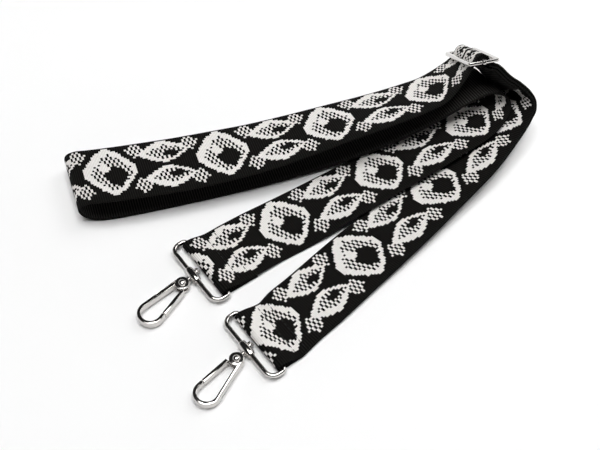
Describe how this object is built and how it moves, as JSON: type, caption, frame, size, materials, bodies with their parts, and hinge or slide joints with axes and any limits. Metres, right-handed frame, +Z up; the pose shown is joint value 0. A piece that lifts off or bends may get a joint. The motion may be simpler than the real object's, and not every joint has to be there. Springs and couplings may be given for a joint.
{
  "type": "bag strap",
  "caption": "Detachable shoulder strap for a bag: wide woven webbing laid folded, with a snap hook at each end and a slider that sets its length.",
  "frame": {"origin": "on the table, under the middle of the laid strap's outline", "axes": "+Z up from the table; +X to the right along the folded strap, from its left fold to its right bends; +Y away from the viewer, so that the hooks lie on the near side"},
  "size_m": [0.261, 0.231, 0.0407],
  "materials": {
    "black webbing": "woven, with a patterned face and a plain ribbed back",
    "polished nickel": "polished"
  },
  "bodies": {
    "strap": {"webbing": "black webbing"},
    "loop_1": {"loop_1": "polished nickel"},
    "hook_1": {"hook_1": "polished nickel", "gate_pin_1": "polished nickel"},
    "gate_1": {"gate_1": "polished nickel"},
    "loop_2": {"loop_2": "polished nickel"},
    "hook_2": {"hook_2": "polished nickel", "gate_pin_2": "polished nickel"},
    "gate_2": {"gate_2": "polished nickel"},
    "slider": {"slider_frame": "polished nickel", "slider_bar": "polished nickel"}
  },
  "joints": [
    {"name": "loop_1_pivot", "type": "hinge", "parent": "strap", "child": "loop_1", "pos_m": [-0.02073, -0.0782, 0.00307], "axis": [0.5906, -0.807, 0], "range_deg": [-105, 105]},
    {"name": "hook_1_swivel", "type": "hinge", "parent": "loop_1", "child": "hook_1", "pos_m": [-0.02767, -0.08327, 0.00307], "axis": [-0.5878, -0.809, 0], "continuous": true},
    {"name": "gate_1_push", "type": "hinge", "parent": "hook_1", "child": "gate_1", "pos_m": [-0.03236, -0.08972, 0.00307], "axis": [0, 0, 1], "range_deg": [0, 20], "stiffness_Nm_per_rad": 0.02},
    {"name": "loop_2_pivot", "type": "hinge", "parent": "strap", "child": "loop_2", "pos_m": [-0.04953, -0.03359, 0.00307], "axis": [0.5878, -0.809, 0], "range_deg": [-105, 105]},
    {"name": "hook_2_swivel", "type": "hinge", "parent": "loop_2", "child": "hook_2", "pos_m": [-0.05649, -0.03865, 0.00307], "axis": [-0.6401, -0.7683, 0], "continuous": true},
    {"name": "gate_2_push", "type": "hinge", "parent": "hook_2", "child": "gate_2", "pos_m": [-0.06159, -0.04477, 0.00307], "axis": [0, 0, -1], "range_deg": [0, 20], "stiffness_Nm_per_rad": 0.02},
    {"name": "slider_tilt", "type": "hinge", "parent": "strap", "child": "slider", "pos_m": [0.09637, 0.0962, 0.02605], "axis": [-0.1889, 0.7867, -0.5878], "range_deg": [-2, 2]}
  ]
}
